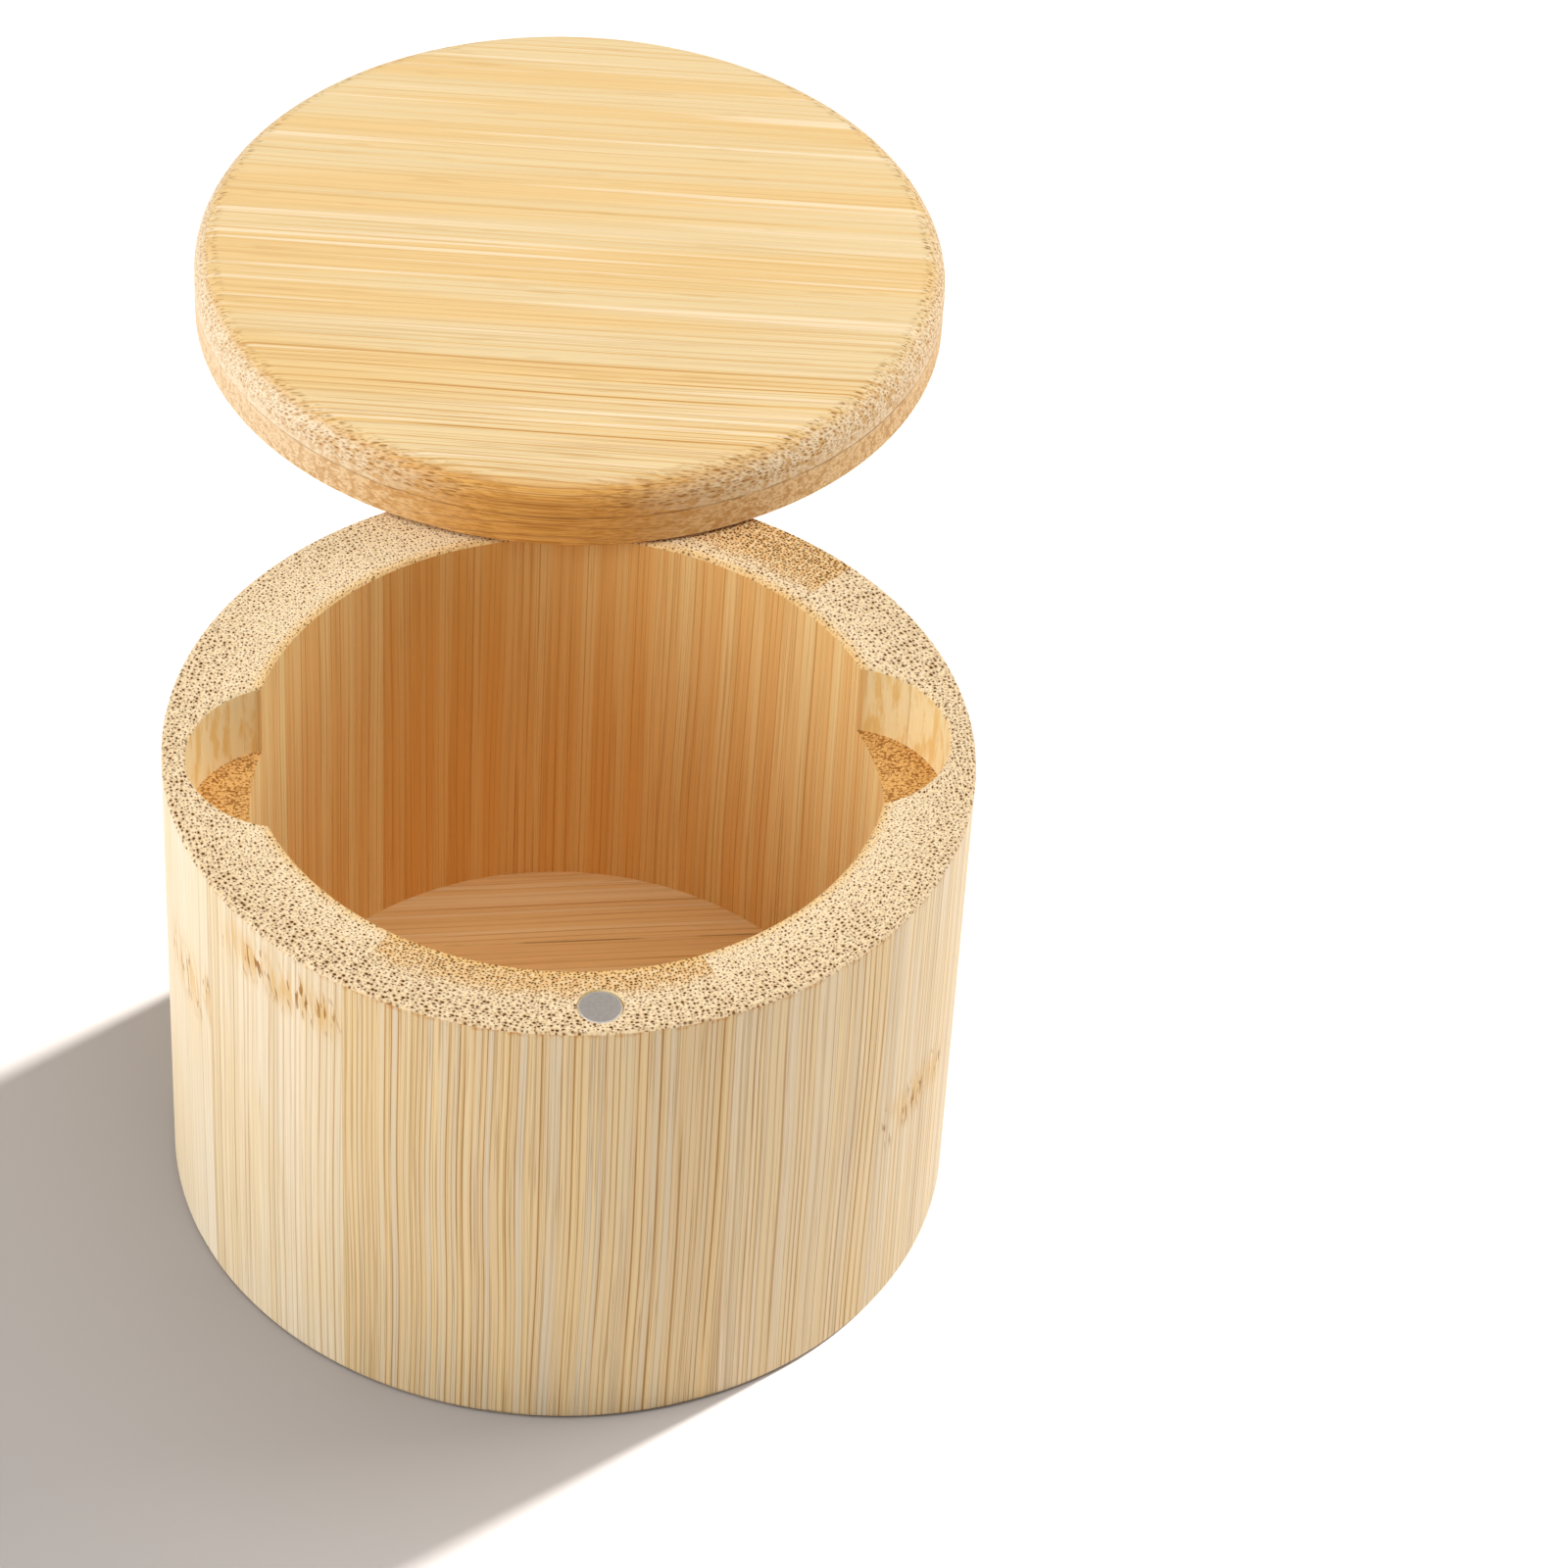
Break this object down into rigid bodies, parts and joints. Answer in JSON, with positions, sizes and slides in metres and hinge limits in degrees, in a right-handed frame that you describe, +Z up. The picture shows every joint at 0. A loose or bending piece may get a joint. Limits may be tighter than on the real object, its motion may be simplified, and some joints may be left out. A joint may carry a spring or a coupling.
{
  "type": "salt box",
  "caption": "Round bamboo salt box with a flat lid that swivels on a hidden pin, a magnet catch and round spoon rests bored into the rim.",
  "frame": {"origin": "middle of the foot, on the axis of the bored body", "axes": "+Z up; the front of the box with the rim magnet is towards -Y, the lid's pivot towards +Y, and the two spoon rests lie on the X axis"},
  "size_m": [0.0959, 0.1681, 0.0706],
  "materials": {
    "bamboo_wall": "satin sanded bamboo, grain upright, end grain with dark pores on the rim",
    "bamboo_base": "sanded bamboo board",
    "bamboo_lid_top": "satin sanded bamboo board",
    "bamboo_lid_under": "satin sanded bamboo board",
    "nickel_magnet": "dull nickel plate",
    "steel_pin": "ground steel dowel"
  },
  "bodies": {
    "box": {"stave_01": "bamboo_wall", "stave_02": "bamboo_wall", "stave_03": "bamboo_wall", "stave_04": "bamboo_wall", "stave_05": "bamboo_wall", "stave_06": "bamboo_wall", "stave_07": "bamboo_wall", "stave_08": "bamboo_wall", "stave_09": "bamboo_wall", "stave_10": "bamboo_wall", "stave_11": "bamboo_wall", "stave_12": "bamboo_wall", "stave_13": "bamboo_wall", "base_disc": "bamboo_base", "rim_magnet": "nickel_magnet", "pivot_pin": "steel_pin"},
    "lid": {"lid_lower_board": "bamboo_lid_under", "lid_upper_board": "bamboo_lid_top", "lid_magnet": "nickel_magnet"}
  },
  "joints": [
    {"name": "lid_swivel", "type": "hinge", "parent": "box", "child": "lid", "pos_m": [0, 0.0393, 0.0616], "axis": [0, 0, 1], "continuous": true}
  ]
}
